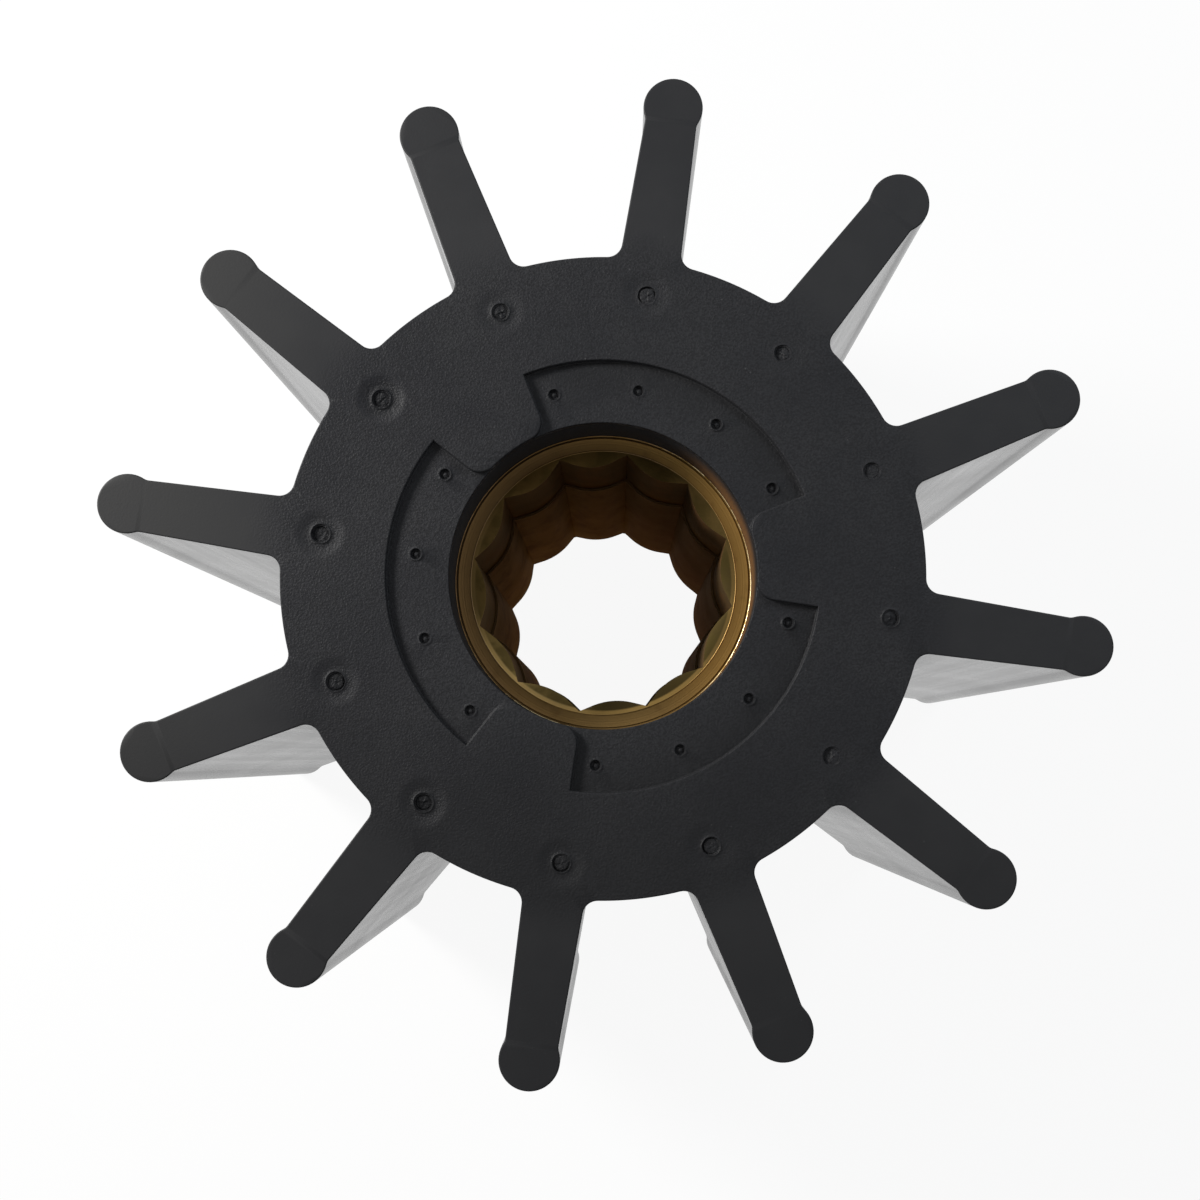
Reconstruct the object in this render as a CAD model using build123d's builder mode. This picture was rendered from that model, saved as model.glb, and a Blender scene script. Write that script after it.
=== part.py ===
from build123d import *
import os
from math import cos, radians, sin, tan

# Driving dimensions of the rubber body, in millimetres and degrees
impeller_diameter = 95.0  # across the blade tips
impeller_width = 88.9  # along the shaft
hub_diameter = 59.8  # rubber round the insert, between the blades
blade_count = 12
blade_root_thickness = 5.7  # where the blade leaves the hub
blade_tip_thickness = 4.8  # at the middle of the bulb
bulb_diameter = 5.6  # sealing bead along the tip
root_fillet = 1.4
neck_fillet = 1.0  # between the blade's flank and its bulb

# Driving dimensions of the shallow arc-shaped recesses in the front face
recess_width = 5.8  # from the bore outwards
recess_depth = 0.7
lug_count = 3  # lugs left at the level of the face, between the recesses
lug_angle = 30.0  # width of a lug
first_lug_angle = 15.0  # middle of a lug, half way between two blades
lug_corner_radius = 1.8  # at the bore

# Marks that the mould leaves in the front face
gate_inset = 3.25  # row of torn sprues, one in line with each blade, from the hub's edge
gate_diameter = 1.7
gate_stub_diameter = 1.2
gate_depth = 0.3
pin_offset = 3.3  # row of pin marks in the floors of the recesses, from the bore
pins_per_recess = 4
pin_spacing = 26.0  # degrees
pin_diameter = 0.95
pin_depth = 0.5
pin_taper = 20.0

# Driving dimensions of the brass insert
lobe_count = 12
spline_diameter = 24.8  # across the cusps
spline_depth = 1.55  # from a cusp in to a ridge, before the ridges are rounded
ridge_rounding = 6.0
spline_turn = -2.0  # first cusp, from the line of a blade
mouth_length = 16.5  # front stretch of the spline, cut a little larger
mouth_relief = 0.25  # how much larger, on the radius
mouth_land = 0.1  # width of the lead-in outside the cusps
lead_in_angle = 45.0
insert_wall = 1.65  # brass outside the cusps of the mouth
insert_length = 63.5
insert_recess = 8.0  # how far its front end lies below the front face
insert_edge_break = 0.25

# Sizes that follow
hub_radius = hub_diameter / 2
bulb_radius = bulb_diameter / 2
bulb_circle_radius = impeller_diameter / 2 - bulb_radius
cusp_radius = spline_diameter / 2
ridge_radius = cusp_radius - spline_depth
insert_radius = cusp_radius + mouth_relief + insert_wall  # also the bore moulded round it
recess_radius = insert_radius + recess_width
pin_circle_radius = insert_radius + pin_offset
gate_circle_radius = hub_radius - gate_inset
recess_floor = impeller_width - recess_depth
recess_middle_angle = first_lug_angle + 180.0 / lug_count
insert_top = impeller_width - insert_recess
insert_base = insert_top - insert_length

os.makedirs("parts", exist_ok=True)


def polar(radius, angle):
    """Point at a radius and an angle in degrees."""
    return (radius * cos(radians(angle)), radius * sin(radians(angle)))


# Blade flanks are straight and thin out towards the tip. They start inside
# the hub, on the same two lines, so that the root meets the hub's round wall.
flank_slope = (blade_root_thickness - blade_tip_thickness) / 2 / (bulb_circle_radius - hub_radius)
blade_start = hub_radius - blade_root_thickness
start_half = blade_root_thickness / 2 + flank_slope * (hub_radius - blade_start)
tip_half = blade_tip_thickness / 2

# Plan of one lug: a sector of the recessed ring, its two corners at the bore rounded
with BuildSketch() as lug:
    Circle(hub_radius)
    Circle(insert_radius, mode=Mode.SUBTRACT)
    Polygon(
        (0, 0),
        (hub_radius, -hub_radius * tan(radians(lug_angle / 2))),
        (hub_radius, hub_radius * tan(radians(lug_angle / 2))),
        mode=Mode.INTERSECT,
    )
    fillet(lug.vertices().group_by(SortBy.DISTANCE)[0], lug_corner_radius)

# Rubber body: hub, blades and their beads moulded in one
with BuildPart() as rubber_body:
    with BuildSketch() as outline:
        Circle(hub_radius)
        with PolarLocations(0, blade_count):
            Polygon(
                (blade_start, -start_half),
                (bulb_circle_radius, -tip_half),
                (bulb_circle_radius, tip_half),
                (blade_start, start_half),
            )
        with PolarLocations(bulb_circle_radius, blade_count):
            Circle(bulb_radius)
        fillet(outline.vertices().group_by(SortBy.DISTANCE)[1], neck_fillet)
        fillet(outline.vertices().group_by(SortBy.DISTANCE)[0], root_fillet)
    extrude(amount=impeller_width)

    # Straight bore that holds the insert
    with BuildSketch():
        Circle(insert_radius)
    extrude(amount=impeller_width, mode=Mode.SUBTRACT)

    # Recesses between the lugs
    with BuildSketch(Plane.XY.offset(impeller_width)):
        Circle(recess_radius)
        with PolarLocations(0, lug_count, start_angle=first_lug_angle):
            add(lug.sketch, mode=Mode.SUBTRACT)
    extrude(amount=-recess_depth, mode=Mode.SUBTRACT)

    # Tapered pin marks, in a row along the floor of each recess
    with BuildSketch(Plane.XY.offset(recess_floor)):
        row_span = pin_spacing * (pins_per_recess - 1)
        for recess in range(lug_count):
            row_start = recess_middle_angle + recess * 360.0 / lug_count - row_span / 2
            with PolarLocations(
                pin_circle_radius, pins_per_recess, row_start, row_span, endpoint=True
            ):
                Circle(pin_diameter / 2)
    extrude(amount=-pin_depth, taper=pin_taper, mode=Mode.SUBTRACT)

    # Ring-shaped pits round the torn sprues
    with BuildSketch(Plane.XY.offset(impeller_width)):
        with PolarLocations(gate_circle_radius, blade_count):
            Circle(gate_diameter / 2)
            Circle(gate_stub_diameter / 2, mode=Mode.SUBTRACT)
    extrude(amount=-gate_depth, mode=Mode.SUBTRACT)

rubber_body.part.label = "rubber_body"


def spline_profile(relief):
    """Section of the splined bore: sharp cusps outwards, rounded ridges inwards."""
    pitch = 360.0 / lobe_count
    points = []
    for lobe in range(lobe_count):
        cusp_angle = spline_turn + lobe * pitch
        points.append(polar(cusp_radius + relief, cusp_angle))
        points.append(polar(ridge_radius + relief, cusp_angle + pitch / 2))
    with BuildSketch() as profile:
        Polygon(*points)
        fillet(profile.vertices().group_by(SortBy.DISTANCE)[0], ridge_rounding)
    return profile.sketch


full_spline = spline_profile(0)
mouth_spline = spline_profile(mouth_relief)
tail_lead_radius = cusp_radius + mouth_land
mouth_lead_radius = tail_lead_radius + mouth_relief
lead_in_depth = (spline_depth + mouth_land) / tan(radians(lead_in_angle))

# Brass insert: a turned sleeve with a splined bore, open at both ends
with BuildPart() as brass_insert:
    with BuildSketch(Plane.XY.offset(insert_base)):
        Circle(insert_radius)
    extrude(amount=insert_length)
    chamfer(brass_insert.edges().filter_by(GeomType.CIRCLE), insert_edge_break)

    # Spline along the whole length, and its larger front stretch
    with BuildSketch(Plane.XY.offset(insert_base)):
        add(full_spline)
    extrude(amount=insert_length, mode=Mode.SUBTRACT)
    with BuildSketch(Plane.XY.offset(insert_top)):
        add(mouth_spline)
    extrude(amount=-mouth_length, mode=Mode.SUBTRACT)

    # Conical lead-ins at both ends, which cut the ridges to slanted facets
    with BuildSketch(Plane.XY.offset(insert_top)):
        Circle(mouth_lead_radius)
    extrude(amount=-lead_in_depth, taper=lead_in_angle, mode=Mode.SUBTRACT)
    with BuildSketch(Plane.XY.offset(insert_base)):
        Circle(tail_lead_radius)
    extrude(amount=lead_in_depth, taper=lead_in_angle, mode=Mode.SUBTRACT)

brass_insert.part.label = "brass_insert"

export_step(rubber_body.part, "parts/rubber_body.step")
export_step(brass_insert.part, "parts/brass_insert.step")
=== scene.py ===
from math import acos, asin, atan2, cos, pi, radians, sin, sqrt
from random import Random

import bmesh
import bpy
from mathutils import Matrix, Vector


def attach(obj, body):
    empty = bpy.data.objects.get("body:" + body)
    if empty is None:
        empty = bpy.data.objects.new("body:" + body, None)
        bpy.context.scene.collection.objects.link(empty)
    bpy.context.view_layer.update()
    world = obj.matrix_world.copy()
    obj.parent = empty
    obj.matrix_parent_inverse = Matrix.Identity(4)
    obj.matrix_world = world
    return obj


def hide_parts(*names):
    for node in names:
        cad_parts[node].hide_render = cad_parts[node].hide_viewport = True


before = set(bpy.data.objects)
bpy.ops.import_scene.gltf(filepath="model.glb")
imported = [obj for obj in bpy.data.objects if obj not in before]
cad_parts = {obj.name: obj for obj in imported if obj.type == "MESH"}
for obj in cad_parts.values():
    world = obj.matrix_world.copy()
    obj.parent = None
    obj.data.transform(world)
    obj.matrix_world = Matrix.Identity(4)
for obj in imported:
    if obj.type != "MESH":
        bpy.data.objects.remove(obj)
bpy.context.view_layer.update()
mm = 0.001
weld = 0.002 * mm  # points nearer to each other than this become one
flush = 1e-7  # how exactly a point has to lie in the plane of a face
print("frame loaded")


class Wire:
    # an output socket that can stand in Python sums
    def __init__(self, finish, socket):
        self.finish = finish
        self.socket = socket

    def calc(self, operation, left, right):
        return self.finish.node("ShaderNodeMath", {"operation": operation}, {0: left, 1: right})

    def __add__(self, other):
        return self.calc("ADD", self, other)

    def __radd__(self, other):
        return self.calc("ADD", other, self)

    def __sub__(self, other):
        return self.calc("SUBTRACT", self, other)

    def __rsub__(self, other):
        return self.calc("SUBTRACT", other, self)

    def __mul__(self, other):
        return self.calc("MULTIPLY", self, other)

    def __rmul__(self, other):
        return self.calc("MULTIPLY", other, self)

    def __pow__(self, other):
        return self.calc("POWER", self, other)

    def __abs__(self):
        return self.calc("ABSOLUTE", self, 0.0)


class Finish:
    # the nodes of one material, or of the world
    def __init__(self, owner, ending="ShaderNodeOutputMaterial"):
        self.owner = owner
        owner.use_nodes = True
        self.tree = owner.node_tree
        self.tree.nodes.clear()
        self.out = self.tree.nodes.new(ending)

    def node(self, kind, settings=None, inputs=None, output=0):
        made = self.tree.nodes.new(kind)
        for key, value in (settings or {}).items():
            setattr(made, key, value)
        for key, value in (inputs or {}).items():
            if isinstance(value, Wire):
                self.tree.links.new(value.socket, made.inputs[key])
            else:
                made.inputs[key].default_value = value
        return Wire(self, made.outputs[output])

    def shown(self, wire):
        self.tree.links.new(wire.socket, self.out.inputs["Surface"])
        return self.owner

    def place(self, stretch=(1, 1, 1)):
        spot = self.node("ShaderNodeTexCoord", output="Object")
        return self.node("ShaderNodeMapping", None, {"Vector": spot, "Scale": stretch})

    def axis(self, which):
        spot = self.node("ShaderNodeTexCoord", output="Object")
        return self.node("ShaderNodeSeparateXYZ", None, {0: spot}, which)

    def noise(self, scale, detail=2.0, stretch=(1, 1, 1), rough=0.5):
        inputs = {"Vector": self.place(stretch), "Scale": scale, "Detail": detail, "Roughness": rough}
        return self.node("ShaderNodeTexNoise", None, inputs)

    def rise(self, value, start, end):
        # smooth step from 0 to 1
        return self.node("ShaderNodeMapRange", {"interpolation_type": "SMOOTHSTEP"},
                         {"Value": value, "From Min": start, "From Max": end})

    def tint(self, mask, under, over):
        return self.node("ShaderNodeMix", {"data_type": "RGBA"}, {0: mask, 6: under, 7: over}, 2)

    def bump(self, height, distance, under=None):
        inputs = {"Height": height, "Distance": distance, "Strength": 1.0}
        if under:
            inputs["Normal"] = under
        return self.node("ShaderNodeBump", None, inputs)


def newMesh():
    # rimKey numbers the vertices of a rim while it is carried along
    bm = bmesh.new()
    bm.verts.layers.int.new("rimKey")
    return bm


def onCircle(radius, angle, z=0.0):
    return Vector((radius * cos(angle), radius * sin(angle), z))


def arcFrom(bm, vert, centre, angle, steps):
    # spins one vertex into an arc and gives its far end
    made = bmesh.ops.spin(bm, geom=[vert], cent=centre, axis=(0, 0, 1), angle=angle, steps=steps)
    return next(item for item in made["geom_last"] if isinstance(item, bmesh.types.BMVert))


def lineFrom(bm, vert, target, steps=1):
    # a straight run from a vertex, cut into even steps
    start = vert.co.copy()
    for step in range(steps):
        vert = bmesh.ops.extrude_vert_indiv(bm, verts=[vert])["verts"][0]
        vert.co = start.lerp(target, (step + 1) / steps)
    return vert


def repeatAround(bm, copies, turn=0.0):
    # mirrors half a pattern across its own line, turns it and sets the copies round the axis
    bmesh.ops.mirror(bm, geom=bm.verts[:] + bm.edges[:], axis="Y", merge_dist=weld / 2)
    bmesh.ops.rotate(bm, verts=bm.verts[:], cent=(0, 0, 0), matrix=Matrix.Rotation(turn, 3, "Z"))
    bmesh.ops.spin(bm, geom=bm.verts[:] + bm.edges[:], cent=(0, 0, 0), axis=(0, 0, 1),
                   angle=2 * pi * (copies - 1) / copies, steps=copies - 1, use_duplicate=True)
    bmesh.ops.remove_doubles(bm, verts=bm.verts[:], dist=weld)


def addLoop(bm, other):
    # moves a loop that was drawn apart into the piece, and gives its edges there
    mesh = bpy.data.meshes.new("loop")
    other.to_mesh(mesh)
    other.free()
    before = set(bm.edges)
    bm.from_mesh(mesh)
    bpy.data.meshes.remove(mesh)
    return [edge for edge in bm.edges if edge not in before]


def walkRim(edges):
    # the vertices of a closed rim in order, anticlockwise seen from the front
    beside = {}
    for edge in edges:
        a, b = edge.verts
        beside.setdefault(a, []).append(b)
        beside.setdefault(b, []).append(a)
    chain = [edges[0].verts[0], beside[edges[0].verts[0]][0]]
    while len(chain) < len(beside):
        a, b = beside[chain[-1]]
        chain.append(b if a is chain[-2] else a)
    area = sum(a.co.x * b.co.y - b.co.x * a.co.y for a, b in zip(chain, chain[1:] + chain[:1]))
    return chain if area > 0 else chain[::-1]


def outwardWays(chain):
    # in plan, how each vertex moves when the rim grows by one
    ways = []
    for number, vert in enumerate(chain):
        ahead = chain[(number + 1) % len(chain)].co - vert.co
        behind = vert.co - chain[number - 1].co
        first = Vector((behind.y, -behind.x, 0)).normalized()
        second = Vector((ahead.y, -ahead.x, 0)).normalized()
        ways.append((first + second) / (1 + first.dot(second)))
    return ways


def carryRim(bm, edges, places):
    # puts a closed rim at the first place and extrudes it on to each of the others
    key = bm.verts.layers.int["rimKey"]
    chain = walkRim(edges)
    ways = outwardWays(chain)
    starts = [vert.co.copy() for vert in chain]
    for number, vert in enumerate(chain):
        vert[key] = number
        vert.co = places[0](starts[number], ways[number])
    rim = edges
    for place in places[1:]:
        made = bmesh.ops.extrude_edge_only(bm, edges=rim)["geom"]
        fresh = {item for item in made if isinstance(item, bmesh.types.BMVert)}
        rim = [item for item in made if isinstance(item, bmesh.types.BMEdge) and set(item.verts) <= fresh]
        for vert in fresh:
            vert.co = place(starts[vert[key]], ways[vert[key]])
    return rim


def shifted(out, z):
    # a place for a rim that has grown by out and lies at height z
    return lambda start, way: Vector((start.x + way.x * out, start.y + way.y * out, z))


def quarter(radius, segments):
    # across and up, for each point of a quarter round that starts upright and ends level
    steps = [pi / 2 * step / segments for step in range(segments + 1)]
    return [(radius * (1 - cos(step)), radius * sin(step)) for step in steps]


def finishPiece(bm, name, node, material, sharpAngle):
    # merges, smooths and hands over a piece, with edges sharp where they turn by more than sharpAngle
    bmesh.ops.remove_doubles(bm, verts=bm.verts[:], dist=weld)
    bmesh.ops.dissolve_degenerate(bm, edges=bm.edges[:], dist=weld / 2)
    bmesh.ops.recalc_face_normals(bm, faces=bm.faces[:])
    # level and large flat faces keep their own normal, and the rounded edges lean on them
    strength = bm.faces.layers.int.new("__mod_weightednormals_faceweight")
    strong, medium = 16384, 0  # as Blender stores them
    largeArea = (10 * mm) ** 2
    for face in bm.faces:
        face.smooth = True
        level = abs(face.normal.z) > 1 - 1e-5
        face[strength] = strong if level or face.calc_area() > largeArea else medium
    for edge in bm.edges:
        if len(edge.link_faces) == 2 and edge.calc_face_angle(0) > sharpAngle:
            edge.smooth = False
    opened = sum(len(edge.link_faces) != 2 for edge in bm.edges)
    mesh = bpy.data.meshes.new(name)
    bm.to_mesh(mesh)
    bm.free()
    piece = bpy.data.objects.new(name, mesh)
    bpy.context.scene.collection.objects.link(piece)
    weighted = piece.modifiers.new("weightedNormals", "WEIGHTED_NORMAL")
    weighted.keep_sharp = True
    weighted.use_face_influence = True
    mesh.materials.append(material)
    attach(piece, "root")
    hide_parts(node)
    print(name, "made:", len(mesh.polygons), "faces,", opened, "open edges")


rubber = {
    "blades": 12,
    "width": 88.9 * mm,
    "hubRadius": 29.9 * mm,
    "rootHalf": 2.85 * mm,  # half the blade's thickness where it leaves the hub
    "tipHalf": 2.4 * mm,  # and at the middle of the bead
    "beadRadius": 2.8 * mm,
    "beadCircle": 44.7 * mm,
    "rootFillet": 1.4 * mm,
    "neckFillet": 1.0 * mm,
    "edgeRound": 0.14 * mm,
    "boreRadius": 14.3 * mm,
    "boreEdgeRound": 0.1 * mm,
    "recessRadius": 20.1 * mm,
    "recessDepth": 0.7 * mm,
    "floorFillet": 0.12 * mm,
    "lugs": 3,
    "lugHalfAngle": radians(15),
    "firstLug": radians(15),
    "lugCorner": 1.8 * mm,
    "sharpAngle": radians(38),
    "seed": 12,  # of the uneven marks
    # how many steps each curve is cut into
    "edgeSteps": 3,
    "beadSteps": 18,
    "neckSteps": 5,
    "rootSteps": 8,
    "hubSteps": 8,
    "lugSteps": 8,
    "cornerSteps": 7,
    "lugSideSteps": 4,
    "recessSteps": 30,
    "filletSteps": 4,
    "boreSteps": 56,
    "tones": {
        "dark": (0.0117, 0.0120, 0.0139, 1),
        "pale": (0.0190, 0.0192, 0.0207, 1),
        "grain": (0.0055, 0.0055, 0.0062, 1),
        "dust": (0.08, 0.08, 0.08, 1),
        # painted light on the blades
        "paintedBladeLight": (0.022, 0.022, 0.0222, 1),
        # painted shade, towards the bottom and on the recess floors
        "paintedShade": (0.005, 0.005, 0.0053, 1),
        # painted reflection of the lit brass on the bore wall
        "paintedBrassReflection": (0.12, 0.056, 0.019, 1),
        "pit": (0.004, 0.004, 0.0045, 1),
    },
}


def drawOutline():
    # blades, beads and hub in plan: half of the blade along X first
    r = rubber
    slope = (r["rootHalf"] - r["tipHalf"]) / (r["beadCircle"] - r["hubRadius"])
    along = Vector((1, -slope, 0)).normalized()
    across = Vector((slope, 1, 0)).normalized()
    level = across.dot(Vector((r["hubRadius"], r["rootHalf"], 0)))
    bead = Vector((r["beadCircle"], 0, 0))

    neckUp = level + r["neckFillet"] - across.dot(bead)
    neckBack = sqrt((r["beadRadius"] + r["neckFillet"]) ** 2 - neckUp ** 2)
    neck = bead + across * neckUp - along * neckBack
    rootUp = level + r["rootFillet"]
    rootAlong = sqrt((r["hubRadius"] + r["rootFillet"]) ** 2 - rootUp ** 2)
    root = across * rootUp + along * rootAlong

    flankAngle = atan2(across.y, across.x)
    neckAngle = atan2((neck - bead).y, (neck - bead).x)
    hubAngle = atan2(root.y, root.x)
    bm = newMesh()
    vert = bm.verts.new(bead + Vector((r["beadRadius"], 0, 0)))
    vert = arcFrom(bm, vert, bead, neckAngle, r["beadSteps"])
    vert = arcFrom(bm, vert, neck, flankAngle - neckAngle, r["neckSteps"])
    vert = lineFrom(bm, vert, root - across * r["rootFillet"])
    vert = arcFrom(bm, vert, root, hubAngle - flankAngle, r["rootSteps"])
    arcFrom(bm, vert, (0, 0, 0), pi / r["blades"] - hubAngle, r["hubSteps"])
    repeatAround(bm, r["blades"])
    return bm


def lugCorner():
    # centre of the rounded corner of a lug at the bore, beside a lug that points along X
    r = rubber
    reach = r["boreRadius"] + r["lugCorner"]
    return reach, r["lugHalfAngle"] - asin(r["lugCorner"] / reach)


def cornerTurn(side, other, opposite):
    # angle between two sides of a triangle
    return acos(min(1.0, (side ** 2 + other ** 2 - opposite ** 2) / (2 * side * other)))


def boreEdge():
    # radius and height of the rounded edge where the bore meets the recess floor
    r = rubber
    floor = r["width"] - r["recessDepth"]
    size = r["boreEdgeRound"]
    return [(r["boreRadius"] + across, floor - size + up) for across, up in quarter(size, r["edgeSteps"])]


def drawInnerRim():
    # bore at the lugs, and round the recesses: half of a lug along X first
    r = rubber
    reach, angle = lugCorner()
    centre = onCircle(reach, angle)
    bm = newMesh()
    vert = bm.verts.new(onCircle(r["boreRadius"], 0))
    vert = arcFrom(bm, vert, (0, 0, 0), angle, r["lugSteps"])
    turns = [cornerTurn(reach, r["lugCorner"], radius) for radius, _ in boreEdge()]
    for before, after in zip(turns, turns[1:]):
        vert = arcFrom(bm, vert, centre, before - after, 1)
    side = pi / 2 - asin(r["lugCorner"] / reach)
    vert = arcFrom(bm, vert, centre, turns[-1] - side, r["cornerSteps"])
    vert = lineFrom(bm, vert, onCircle(r["recessRadius"], r["lugHalfAngle"]), r["lugSideSteps"])
    arcFrom(bm, vert, (0, 0, 0), pi / r["lugs"] - r["lugHalfAngle"], r["recessSteps"])
    repeatAround(bm, r["lugs"], r["firstLug"])
    return bm


def vertAt(bm, spot):
    return min(bm.verts, key=lambda vert: (vert.co - spot).length)


def edgesWith(bm, test):
    return [edge for edge in bm.edges if all(test(vert) for vert in edge.verts)]


def fillBorder(bm, test, facing):
    # a flat face between the open rims that pass the test, looking up (1) or down (-1)
    border = [edge for edge in edgesWith(bm, test) if len(edge.link_faces) == 1]
    bmesh.ops.triangle_fill(bm, use_beauty=True, edges=border, normal=(0, 0, facing))


sprue = {
    "row": 26.65 * mm,
    "drift": (0.2 * mm, -0.1 * mm),  # the row lies a little off the middle
    "segments": 40,
    "dishRadius": 2.5 * mm,
    "dishDepth": 0.3 * mm,  # on the side where they are deepest
    "lip": 0.05 * mm,
    "grooveRadius": 0.85 * mm,
    "grooveDepth": 0.3 * mm,
    "plugRadius": 0.68 * mm,
    "plugSunk": 0.13 * mm,
    "plugTilt": 0.28 * mm,
}


def addSprueMark(bm, angle, chance):
    # soft dish with a lip, then the narrow groove round a torn plug that leans to one side
    s, top = sprue, rubber["width"]
    middle = onCircle(s["row"], angle, top) + Vector((*s["drift"], 0))
    loop = newMesh()
    bmesh.ops.create_circle(loop, segments=s["segments"], radius=s["dishRadius"],
                            matrix=Matrix.Translation(middle))
    edges = addLoop(bm, loop)
    dish = s["dishDepth"] * (0.55 - 0.45 * cos(angle)) * chance.uniform(0.6, 1.3)
    lip = s["lip"] * chance.uniform(-0.5, 1.5)
    groove = s["grooveDepth"] * chance.uniform(0.4, 1.2)
    sunk = dish + s["plugSunk"] * chance.uniform(0.1, 1.8)
    tilt = s["plugTilt"] * chance.uniform(0.0, 1.0) ** 2
    lean = chance.uniform(0, 2 * pi)
    size = chance.uniform(0.93, 1.05)
    lumps = [(chance.uniform(0, 2 * pi), chance.uniform(-1, 1)) for _ in range(4)]

    def ring(radius, height, low=0.0, wobble=0.0, torn=0.0):
        def place(start, way):
            way = (start - middle).normalized()
            spot = atan2(way.y, way.x)
            uneven = sum(part * cos(number * spot + phase)
                         for number, (phase, part) in enumerate(lumps, 1)) / 2
            lift = height + torn * uneven - low * (0.5 + 0.5 * cos(spot - lean))
            reach = radius * (1 + wobble * uneven)
            return Vector((middle.x + way.x * reach, middle.y + way.y * reach, top + lift))
        return place

    # the dish, its lip, down the groove, and over the torn plug to its middle
    outer, plug = s["grooveRadius"] * size, s["plugRadius"] * size
    rim = carryRim(bm, edges, [
        lambda start, way: start,
        ring(s["dishRadius"] * 0.8, -dish * 0.25),
        ring(s["dishRadius"] * 0.6, -dish * 0.8),
        ring(outer * 1.3, -dish, 0, 0.02),
        ring(outer * 1.15, lip * 0.5 - dish * 0.9, 0, 0.03),
        ring(outer * 1.07, lip - dish * 0.7, 0, 0.03),
        ring(outer * 1.02, lip * 0.7 - dish * 0.7, 0, 0.03),
        ring(outer, -0.04 * mm - dish * 0.7, 0, 0.03),
        ring(outer * 0.95, -dish - groove * 0.1, groove, 0.03),
        ring(plug * 1.06, -dish - groove * 0.12, groove, 0.04),
        ring(plug, -sunk - 0.03 * mm, tilt, 0.04),
        ring(plug * 0.92, -sunk, tilt, 0.05, 0.01 * mm),
        ring(plug * 0.72, -sunk - 0.02 * mm, tilt * 0.9, 0.08, 0.03 * mm),
        ring(plug * 0.5, -sunk + 0.01 * mm, tilt * 0.8, 0.15, 0.06 * mm),
        ring(plug * 0.3, -sunk - 0.03 * mm, tilt * 0.7, 0.2, 0.07 * mm),
        ring(plug * 0.12, -sunk, tilt * 0.6, 0.2, 0.02 * mm),
    ])
    bmesh.ops.edgeloop_fill(bm, edges=rim)


pin = {
    "row": 17.6 * mm,
    "perRecess": 4,
    "spacing": radians(26),
    "segments": 28,
    "drift": (0.14 * mm, 0.0),
    "outerRadius": 0.8 * mm,
    "mouthRadius": 0.5 * mm,
    "depth": 0.31 * mm,
    "burr": 0.09 * mm,
}


def addPinMark(bm, angle, chance):
    # conical pit with a low burr round its mouth
    p, floor = pin, rubber["width"] - rubber["recessDepth"]
    middle = onCircle(p["row"], angle, floor) + Vector((*p["drift"], 0))
    loop = newMesh()
    bmesh.ops.create_circle(loop, segments=p["segments"], radius=p["outerRadius"],
                            matrix=Matrix.Translation(middle))
    edges = addLoop(bm, loop)
    burr = p["burr"] * chance.uniform(0.5, 1.3)
    lean = chance.uniform(-1.2, 0.3)

    def ring(radius, height, tilt=0.0):
        def place(start, way):
            way = (start - middle).normalized()
            lift = height + tilt * cos(atan2(way.y, way.x) - lean)
            return Vector((middle.x + way.x * radius, middle.y + way.y * radius, floor + lift))
        return place

    # up the burr, down into the pit, and up again to a low middle
    mouth = p["mouthRadius"]
    rim = carryRim(bm, edges, [
        lambda start, way: start,
        ring(mouth * 1.38, burr * 0.35, burr * 0.2),
        ring(mouth * 1.22, burr, burr * 0.5),
        ring(mouth * 1.07, burr * 0.9, burr * 0.5),
        ring(mouth, -0.03 * mm),
        ring(mouth * 0.93, -p["depth"] * 0.6),
        ring(mouth * 0.8, -p["depth"]),
        ring(mouth * 0.55, -p["depth"] * 0.95),
        ring(mouth * 0.3, -p["depth"] * 0.65),
        ring(mouth * 0.12, -p["depth"] * 0.55),
    ])
    bmesh.ops.edgeloop_fill(bm, edges=rim)


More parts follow.
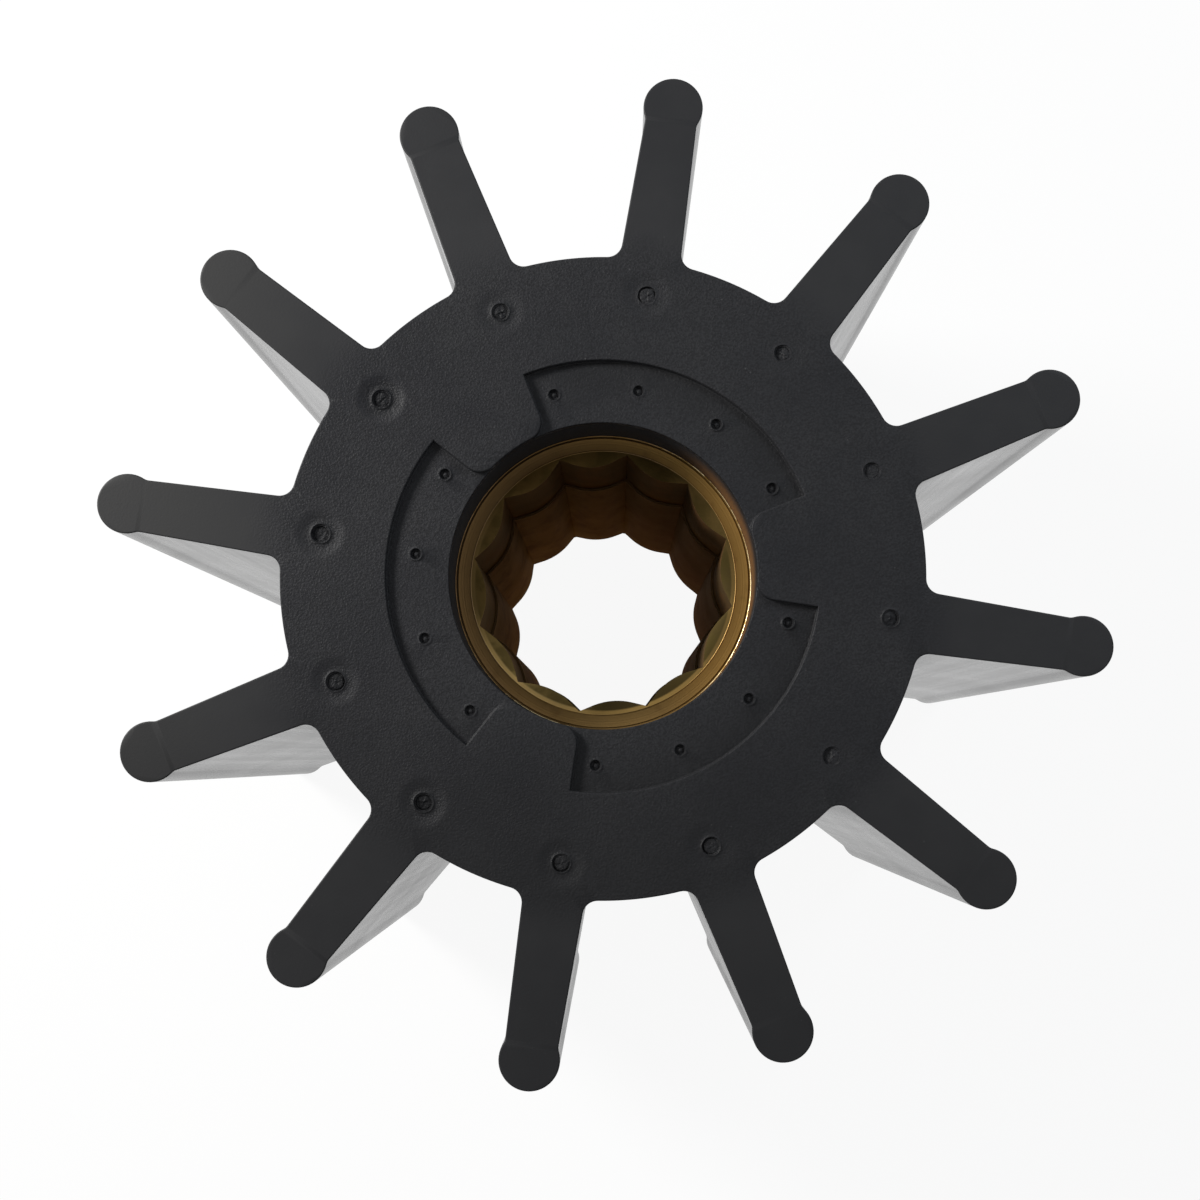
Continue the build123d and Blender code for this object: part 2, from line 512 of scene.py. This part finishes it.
def buildRubber(material):
    r = rubber
    chance = Random(r["seed"])
    width, rounding, fillet = r["width"], r["edgeRound"], r["floorFillet"]
    floor = width - r["recessDepth"]
    rounded = quarter(rounding, r["edgeSteps"])
    bm = newMesh()

    # outside, from the rear face's edge to the front face's
    outer = addLoop(bm, drawOutline())
    outerPath = [shifted(-across, rounding - up) for across, up in reversed(rounded)]
    outerPath += [shifted(-across, width - rounding + up) for across, up in rounded]
    carryRim(bm, outer, outerPath)

    # inside, from the front face down into the recesses and along the bore at the lugs
    inner = addLoop(bm, drawInnerRim())
    boreOpen = r["boreRadius"] + r["boreEdgeRound"]

    def landing(start):
        # height of what lies under the rim
        radius = start.to_2d().length
        short = max(0.0, boreOpen - radius)
        return floor - r["boreEdgeRound"] + sqrt(max(0.0, r["boreEdgeRound"] ** 2 - short ** 2))

    def hollow(start):
        # fillet along the recess wall, dying out towards the bore
        return max(0.0, min(fillet, 0.6 * (start.to_2d().length - boreOpen)))

    def coved(across, up):
        def place(start, way):
            size = hollow(start)
            spot = start - way * size * across
            return Vector((spot.x, spot.y, landing(start) + size * (1 - up)))
        return place

    innerPath = [shifted(across, width - rounding + up) for across, up in reversed(rounded)]
    innerPath += [coved(across, up) for across, up in quarter(1.0, r["filletSteps"])]
    carryRim(bm, inner, innerPath)
    bmesh.ops.remove_doubles(bm, verts=bm.verts[:], dist=weld)

    # rounded edge between each recess floor and the bore
    reach, cornerAngle = lugCorner()
    for lug in range(r["lugs"]):
        middle = r["firstLug"] + lug * 2 * pi / r["lugs"]
        arcs = []
        for radius, z in boreEdge():
            begin = cornerAngle + cornerTurn(radius, reach, r["lugCorner"])
            start = vertAt(bm, onCircle(radius, middle + begin, z))
            before = set(bm.edges)
            arcFrom(bm, start, (0, 0, 0), 2 * pi / r["lugs"] - 2 * begin, r["boreSteps"])
            arcs.append([edge for edge in bm.edges if edge not in before])
        for low, high in zip(arcs, arcs[1:]):
            bmesh.ops.bridge_loops(bm, edges=low + high)
    bmesh.ops.remove_doubles(bm, verts=bm.verts[:], dist=weld)

    # bore from there to the rear face
    low = floor - r["boreEdgeRound"]
    near = 0.01 * mm
    ringEdges = edgesWith(bm, lambda vert: abs(vert.co.z - low) < near and
                          abs(vert.co.to_2d().length - r["boreRadius"]) < near)
    borePath = [lambda start, way: start]
    borePath += [shifted(across, rounding - up) for across, up in rounded]
    carryRim(bm, ringEdges, borePath)

    # floors of the recesses, with their pin marks
    for recess in range(r["lugs"]):
        centre = r["firstLug"] + (recess + 0.5) * 2 * pi / r["lugs"]
        for number in range(pin["perRecess"]):
            angle = centre + (number - (pin["perRecess"] - 1) / 2) * pin["spacing"]
            addPinMark(bm, angle, chance)
        half = pi / r["lugs"]

        def inRecess(vert):
            away = (atan2(vert.co.y, vert.co.x) - centre + pi) % (2 * pi) - pi
            inside = abs(away) < half and abs(vert.co.z - floor) < near
            return inside and vert.co.to_2d().length > boreOpen - near
        fillBorder(bm, inRecess, 1)

    # front face with its sprue marks, and the plain rear face
    for blade in range(r["blades"]):
        addSprueMark(bm, blade * 2 * pi / r["blades"], chance)
    fillBorder(bm, lambda vert: abs(vert.co.z - width) < flush, 1)
    fillBorder(bm, lambda vert: abs(vert.co.z) < flush, -1)
    finishPiece(bm, "impeller_rubber", "rubber_body", material, r["sharpAngle"])


def paintRubber():
    r = rubber
    tones, top, depth = r["tones"], r["width"], r["recessDepth"]
    f = Finish(bpy.data.materials.new("blackRubber"))
    x, y, z = f.axis("X"), f.axis("Y"), f.axis("Z")
    radius = (x * x + y * y) ** 0.5

    # walls start below the recesses and pits on the hub, and just below the edge on the blades;
    # outside are those beyond the recesses, without the rear face
    beyond = f.rise(radius, r["hubRadius"] - 0.5 * mm, r["hubRadius"] - 0.2 * mm)
    wall = 1 - f.rise(z - beyond * 1.4 * mm, top - 1.6 * mm, top - 1.5 * mm)
    outside = wall * f.rise(radius, 20 * mm, 22 * mm) * f.rise(z, 0.05 * mm, 0.2 * mm)
    onHub = 1 - f.rise(radius, 29 * mm, 34 * mm)
    cloud = f.noise(55, 3, rough=0.6)
    mottle = f.noise(420, 3)
    grain = f.noise(5200, 2, rough=0.6)
    streak = f.noise(900, 3, (1, 1, 0.012), 0.6)
    colour = f.tint(f.rise(cloud * 0.7 + mottle * 0.3, 0.3, 0.7), tones["dark"], tones["pale"])
    colour = f.tint(onHub * f.rise(grain, 0.35, 0.65) * 0.7, colour, tones["grain"])
    speck = f.node("ShaderNodeTexVoronoi", None, {"Vector": f.place(), "Scale": 1100.0})
    dust = (1 - f.rise(speck, 0.04, 0.12)) * f.rise(f.noise(240, 2), 0.55, 0.7)
    colour = f.tint(dust * 0.45, colour, tones["dust"])

    # painted light: the blades are lighter, most of all at the left where the lamp falls, and painted
    # shade makes the rubber darker towards the bottom
    paintedBladeLight = (1 - onHub) * (1 - f.rise(x, -42 * mm, -26 * mm) * 0.6)
    colour = f.tint(paintedBladeLight, colour, tones["paintedBladeLight"])
    # painted shade: darker towards the bottom, with less coat there
    paintedShade = 1 - f.rise(y + (cloud - 0.5) * 20 * mm, -34 * mm, -6 * mm)
    colour = f.tint(paintedShade * (0.35 + onHub * 0.25), colour, tones["paintedShade"])

    # painted shade: the recess floors darken towards their outer wall, on the right side
    recessShade = 1 - f.rise(z, top - 0.6 * mm, top - 0.3 * mm)
    recessShade = recessShade * (1 - wall) * f.rise(radius, 15 * mm, 20 * mm) * f.rise(x, -14 * mm, -4 * mm)
    colour = f.tint(recessShade * 0.45, colour, tones["paintedShade"])

    # painted reflection: the lit brass glows orange on the bore's wall in front of the insert, at the
    # right side where the lamp falls
    lower = 1 - f.rise(radius, r["boreRadius"] + 0.1 * mm, r["boreRadius"] + 0.3 * mm)
    lower = lower * (1 - f.rise(z, 83 * mm, 88 * mm)) * f.rise(z, 40 * mm, 60 * mm)
    brassReflectionMask = lower * f.rise(x, 4 * mm, 11 * mm) * (0.5 + f.rise(grain, 0.4, 0.6) * 0.5)
    colour = f.tint(brassReflectionMask, colour, tones["paintedBrassReflection"])

    # pits, below the recess floors or below the face outside them
    raised = f.rise(radius, r["recessRadius"], r["recessRadius"] + 0.2 * mm) * depth
    pit = f.rise(top - depth + raised - z, 0.1 * mm, 0.3 * mm) * (1 - wall)
    colour = f.tint(pit * 0.3, colour, tones["pit"])

    # dull and grained on the hub, glossier and streaked on the outer walls
    rough = 0.5 + (cloud - 0.5) * 0.16 + (grain - 0.5) * 0.12 + wall * 0.2
    rough = rough + ((streak - 0.5) * 0.15 - 0.42) * outside
    normal = f.bump(streak * wall, 0.01 * mm)
    normal = f.bump(grain * (0.15 + onHub * 0.85 + pit * 0.8) * (1 - wall * 0.7), 0.065 * mm, normal)
    shader = f.node("ShaderNodeBsdfPrincipled", None, {
        "Base Color": colour, "Roughness": rough, "Normal": normal, "Specular IOR Level": 0.12,
        "Coat Weight": outside * (0.38 - onHub * 0.14) * (1 - paintedShade * 0.6), "Coat Roughness": 0.2})
    return f.shown(shader)


brass = {
    "lobes": 12,
    "cuspRadius": 12.4 * mm,
    "ridgeRadius": 10.85 * mm,
    "ridgeRound": 6.0 * mm,
    "turn": radians(-2),
    "relief": 0.25 * mm,
    "land": 0.1 * mm,
    "radius": 14.3 * mm,
    "front": 80.9 * mm,
    "rear": 17.4 * mm,
    "mouthLength": 16.5 * mm,
    "edgeBreak": 0.2 * mm,
    "burr": 0.12 * mm,
    "groove": 0.32 * mm,  # from the foot of the rubber wall inwards
    "grooveDepth": 0.1 * mm,
    "flash": 0.05 * mm,
    "sharpAngle": radians(32),
    "flankSteps": 5,
    "ridgeSteps": 10,
    # points of a section, as shares of a size across and a size up
    "burrShape": [(-0.2, -0.15), (0, 0.25), (0.25, 0.42), (0.5, 0.34), (0.8, 0.1), (1.1, 0)],
    "grooveShape": [(1, 0), (0.87, -0.3), (0.8, -1), (0.5, -1), (0.38, -0.3)],
    "flashShape": [(0.28, 0.4), (0.17, 1), (0, 0.1)],
    "edgeBreakShape": [(0, 1), (0.45, 0.25), (1, 0)],
    # pairs run from the photo's left to its right, and on the facets from below upwards
    "tones": {
        # painted light and shade: a darker copy for the shaded left of the ring and a lighter one for its
        # lit right
        "ring": [(0.16, 0.096, 0.038, 1), (0.275, 0.166, 0.049, 1)],
        "ringShaded": (0.11, 0.072, 0.03, 1),
        "ringStain": (0.08, 0.043, 0.017, 1),
        # painted highlight on the ring's edges: a shaded copy and two lit copies of rubbed brass
        "rubbedEdgeShaded": (0.22, 0.14, 0.07, 1),
        "rubbedBurrLit": (0.36, 0.225, 0.08, 1),
        "rubbedFlashLit": (0.8, 0.67, 0.4, 1),
        "grooveDirtAndShade": (0.02, 0.013, 0.008, 1),
        # painted light and shade in the bore: lighter and darker copies for the two sides, and a painted
        # dark line at the step
        "mouth": [(0.095, 0.058, 0.024, 1), (0.06, 0.038, 0.017, 1)],
        "mouthFoot": (0.1, 0.062, 0.027, 1),
        "deep": [(0.31, 0.175, 0.068, 1), (0.15, 0.088, 0.037, 1)],
        "wallStain": (0.14, 0.066, 0.024, 1),
        "stepLine": (0.02, 0.01, 0.004, 1),
        # painted light on the facets: lighter and darker copies for how the lamp falls, and a painted
        # highlight on their upper rim
        "facetRight": [(0.045, 0.032, 0.012, 1), (0.105, 0.07, 0.024, 1)],
        "facetLeft": [(0.4, 0.27, 0.09, 1), (0.14, 0.092, 0.03, 1)],
        "facetStain": (0.05, 0.038, 0.011, 1),
        "wornAndLitUpper": [(0.19, 0.125, 0.045, 1), (0.1, 0.065, 0.022, 1)],
        "wornAndLitLower": [(0.85, 0.56, 0.2, 1), (0.24, 0.155, 0.05, 1)],
    },
}


def drawSpline(relief):
    # half of a ridge and its flank first, from a cusp on X
    b = brass
    half = pi / b["lobes"]
    cusp = onCircle(b["cuspRadius"] + relief, 0)
    ridge = onCircle(b["ridgeRadius"] + relief, half)
    flank = (cusp - ridge).normalized()
    lean = flank.angle(onCircle(1, half))
    touch = ridge + flank * b["ridgeRound"] / sin(lean) * cos(lean)
    centre = onCircle(b["ridgeRadius"] + relief + b["ridgeRound"] / sin(lean), half)
    bm = newMesh()
    vert = bm.verts.new(cusp)
    vert = lineFrom(bm, vert, touch, b["flankSteps"])
    arcFrom(bm, vert, centre, lean - pi / 2, b["ridgeSteps"])
    repeatAround(bm, b["lobes"], b["turn"])
    return bm


def buildBrass(material):
    b = brass
    front, rear, step = b["front"], b["rear"], b["front"] - b["mouthLength"]
    lead = b["cuspRadius"] + b["land"] + b["relief"]
    tail = b["cuspRadius"] + b["land"]
    bm = newMesh()

    def level(z):
        return lambda start, way: Vector((start.x, start.y, z))

    def cone(radius, end, side):
        # where a lead-in of 45 degrees meets the spline
        return lambda start, way: Vector((start.x, start.y, end - side * (radius - start.to_2d().length)))

    def circle(radius, z):
        def place(start, way):
            reach = start.to_2d().normalized() * radius
            return Vector((reach.x, reach.y, z))
        return place

    def section(shape, radius, wide, z, high):
        # one circle for each point of a shape in the settings
        return [circle(radius + wide * across, z + high * up) for across, up in b[shape]]

    # from the step out of the mouth, over the front ring and down the outside
    mouth = addLoop(bm, drawSpline(b["relief"]))
    path = [level(step), cone(lead, front, 1)]
    path += section("burrShape", lead, b["burr"], front, b["burr"])
    path += section("grooveShape", b["radius"], -b["groove"], front, b["grooveDepth"])
    path += section("flashShape", b["radius"], -b["groove"], front, b["flash"])
    path += section("edgeBreakShape", b["radius"], -b["edgeBreak"], rear, b["edgeBreak"])
    outside = carryRim(bm, mouth, path)

    # from the step along the rear stretch, and the faces that close the piece
    full = addLoop(bm, drawSpline(0))
    inside = carryRim(bm, full, [level(step), cone(tail, rear, -1), circle(tail, rear)])
    bmesh.ops.bridge_loops(bm, edges=outside + inside)
    bmesh.ops.bridge_loops(bm, edges=mouth + full)
    finishPiece(bm, "brass_sleeve", "brass_insert", material, b["sharpAngle"])


def paintBrass():
    b = brass
    tones, front, step = b["tones"], b["front"], b["front"] - b["mouthLength"]
    f = Finish(bpy.data.materials.new("dulledBrass"))
    x, y, z = f.axis("X"), f.axis("Y"), f.axis("Z")
    radius = (x * x + y * y) ** 0.5
    patches = f.noise(160, 4, rough=0.6)
    stains = f.noise(420, 3, (1, 1, 0.35), 0.6)
    along = f.noise(900, 3, (1, 1, 0.02))
    turned = f.node("ShaderNodeTexNoise", {"noise_dimensions": "1D"},
                    {"W": radius, "Scale": 9000.0, "Detail": 2.0})

    # front ring, painted light and shade: duller and browner at the left, where it lies in shade, lighter
    # and warmer at the right, where the lamp falls, and painted shade at the lower right
    side = f.rise(x + (patches - 0.5) * 5 * mm, -12 * mm, 12 * mm)
    below = 1 - f.rise(y, -11 * mm, -4 * mm)
    left = 1 - f.rise(x, -4 * mm, 2 * mm)
    ring = f.tint(side, *tones["ring"])
    shaded = (1 - f.rise(y, -12 * mm, -6 * mm)) * f.rise(x, -6 * mm, 2 * mm)
    ring = f.tint(shaded * 0.6, ring, tones["ringShaded"])
    ring = f.tint(f.rise(stains, 0.55, 0.8) * 0.5, ring, tones["ringStain"])

    # its two raised edges show bright rubbing in places, painted as a highlight that is brightest at the
    # right and lower side and dull at the shaded left, and the groove beside the rubber is dirty, with
    # painted shade
    lead = b["cuspRadius"] + b["relief"] + b["land"]
    rubbingAndHighlight = f.rise(z, front + 0.008 * mm, front + 0.03 * mm)
    broken = f.rise(f.noise(1500, 2), 0.35, 0.55)
    outer = f.rise(radius, lead + b["burr"], b["radius"] - b["groove"])
    rubbingAndHighlight = rubbingAndHighlight * (outer * (broken - 1) + 1) * f.rise(abs(x + y * 0.6), 3 * mm, 9 * mm)
    bright = f.tint(outer, tones["rubbedBurrLit"], tones["rubbedFlashLit"])
    rubbedWearAndLight = f.tint(f.rise(x + below * 12 * mm, 2 * mm, 9 * mm), tones["rubbedEdgeShaded"], bright)
    ring = f.tint(rubbingAndHighlight, ring, rubbedWearAndLight)
    # painted shade in the groove beside the rubber, on top of its dirt: deepest at the left and faint
    # below
    grooveDirtAndShade = f.rise(radius, b["radius"] - b["groove"], b["radius"] - b["groove"] * 0.8)
    grooveDirtAndShade = grooveDirtAndShade * (1 - f.rise(z, front - b["grooveDepth"] * 0.9, front - b["grooveDepth"] * 0.4))
    ring = f.tint(grooveDirtAndShade * (0.85 - side * 0.3) * (1 - below * 0.8), ring, tones["grooveDirtAndShade"])

    # splined walls: stained dark, the rear stretch redder than the mouth; painted light and shade make
    # the walls lighter at the left than at the right, lighter at the right near the step, and darken a
    # line at the step, most at the left
    inBore = 1 - f.rise(radius, lead - 0.01 * mm, lead + 0.02 * mm)
    deep = 1 - f.rise(z, step - 0.15 * mm, step + 0.05 * mm)
    wall = f.tint(side, *tones["mouth"])
    wall = f.tint(side * (1 - f.rise(z, step, step + 9 * mm)), wall, tones["mouthFoot"])
    wall = f.tint(deep, wall, f.tint(side, *tones["deep"]))
    wall = f.tint(f.rise(stains, 0.4, 0.75) * 0.7, wall, tones["wallStain"])
    line = 1 - f.rise(abs(z - step), 0.05 * mm, 0.3 * mm)
    wall = f.tint(line * (0.4 - side * 0.35), wall, tones["stepLine"])

    # slanted facets of the lead-in at the front, with painted light that makes them lightest at the lower
    # left and darkest low on the right; they carry wear along their upper rim, painted as a highlight
    # that is brightest at the lower left
    facet = f.rise(z - front + lead - radius, -0.12 * mm, -0.04 * mm) * inBore
    slant = f.tint(f.rise(y, 3 * mm, 8 * mm), *tones["facetRight"])
    slant = f.tint(left, slant, f.tint(1 - below, *tones["facetLeft"]))
    slant = f.tint(f.rise(stains, 0.4, 0.62) * 0.5, slant, tones["facetStain"])
    rim = (1 - f.rise(front - z, 0.25 * mm, 0.46 * mm)) * (1 - f.rise(y, 3 * mm, 7 * mm))
    wornAndLit = f.tint(1 - left, *tones["wornAndLitUpper"])
    wornAndLit = f.tint(below, wornAndLit, f.tint(1 - left, *tones["wornAndLitLower"]))
    slant = f.tint(rim, slant, wornAndLit)
    wall = f.tint(facet, wall, slant)

    colour = f.tint(inBore, ring, wall)
    metal = 0.75 + rubbingAndHighlight * 0.25 - grooveDirtAndShade * 0.5 - inBore * 0.5 + facet * 0.3
    rough = (0.42 + (patches - 0.5) * 0.2 + (turned - 0.5) * 0.15 * (1 - inBore) + inBore * 0.08
             - facet * 0.08 + rubbingAndHighlight * (0.12 - outer * 0.2))
    normal = f.bump(turned * (1 - inBore), 0.01 * mm)
    normal = f.bump(along * inBore, 0.02 * mm, normal)
    shader = f.node("ShaderNodeBsdfPrincipled", None, {
        "Base Color": colour, "Roughness": rough, "Metallic": metal, "Normal": normal,
        "Specular IOR Level": 0.0, "Specular Tint": (0.5, 0.3, 0.14, 1)})
    return f.shown(shader)


buildRubber(paintRubber())
buildBrass(paintBrass())


studio = {
    "floorSize": 4.0,
    "floorDrop": 0.02 * mm,
    "floorColour": (0.82, 0.82, 0.82, 1),
    "floorGlow": 0.93,
    "worldColour": (0.93, 0.96, 1.0, 1),
    "worldStrength": 0.12,
    "key": {"place": (-0.2, 0.06, 0.2), "size": 0.07, "power": 1.12, "colour": (1.0, 0.985, 0.96)},
    "fill": {"place": (0.13, 0.15, 0.24), "size": 0.1, "power": 0.2, "colour": (0.8, 0.9, 1.0)},
    "aim": (0, 0, 0.07),
}


def whiteRays(f):
    # 1 for the rays that show the background: straight, mirrored or through glass
    kinds = ("Is Camera Ray", "Is Glossy Ray", "Is Transmission Ray")
    straight, mirrored, through = [f.node("ShaderNodeLightPath", output=kind) for kind in kinds]
    return straight + mirrored + through


def buildFloor():
    bm = bmesh.new()
    bmesh.ops.create_grid(bm, x_segments=1, y_segments=1, size=studio["floorSize"] / 2,
                          matrix=Matrix.Translation((0, 0, -studio["floorDrop"])))
    mesh = bpy.data.meshes.new("floor")
    bm.to_mesh(mesh)
    bm.free()
    floor = bpy.data.objects.new("floor", mesh)
    bpy.context.scene.collection.objects.link(floor)
    f = Finish(bpy.data.materials.new("paleFloor"))
    plain = f.node("ShaderNodeBsdfDiffuse", None, {"Color": studio["floorColour"]})
    glow = f.node("ShaderNodeEmission", None, {"Color": (1, 1, 1, 1), "Strength": 1.0})
    share = whiteRays(f) * studio["floorGlow"]
    mesh.materials.append(f.shown(f.node("ShaderNodeMixShader", None, {0: share, 1: plain, 2: glow})))


def buildWorld():
    world = bpy.data.worlds.new("studio")
    bpy.context.scene.world = world
    f = Finish(world, "ShaderNodeOutputWorld")
    lit = f.node("ShaderNodeBackground", None,
                 {"Color": studio["worldColour"], "Strength": studio["worldStrength"]})
    white = f.node("ShaderNodeBackground", None, {"Color": (1, 1, 1, 1), "Strength": 1.0})
    f.shown(f.node("ShaderNodeMixShader", None, {0: whiteRays(f), 1: lit, 2: white}))


def addLamp(name):
    lamp = studio[name]
    light = bpy.data.lights.new(name, "AREA")
    light.shape = "DISK"
    light.size = lamp["size"]
    light.energy = lamp["power"]
    light.color = lamp["colour"]
    holder = bpy.data.objects.new(name, light)
    bpy.context.scene.collection.objects.link(holder)
    holder.location = lamp["place"]
    away = Vector(studio["aim"]) - holder.location
    holder.rotation_euler = away.to_track_quat("-Z", "Y").to_euler()


camera = {
    "place": (3.801 * mm, -16.414 * mm, 266.075 * mm),
    "turn": (radians(4.6541), radians(0.5025), radians(8.5631)),
    "lens": 57.781,
    "sensor": 36.0,
    "clipStart": 0.01,
}


def addCamera():
    data = bpy.data.cameras.new("camera")
    data.lens = camera["lens"]
    data.sensor_width = camera["sensor"]
    data.clip_start = camera["clipStart"]
    holder = bpy.data.objects.new("camera", data)
    bpy.context.scene.collection.objects.link(holder)
    holder.location = camera["place"]
    holder.rotation_euler = camera["turn"]
    bpy.context.scene.camera = holder


buildFloor()
buildWorld()
addLamp("key")
addLamp("fill")
addCamera()
bpy.context.scene.view_settings.view_transform = "Standard"
print("studio ready")
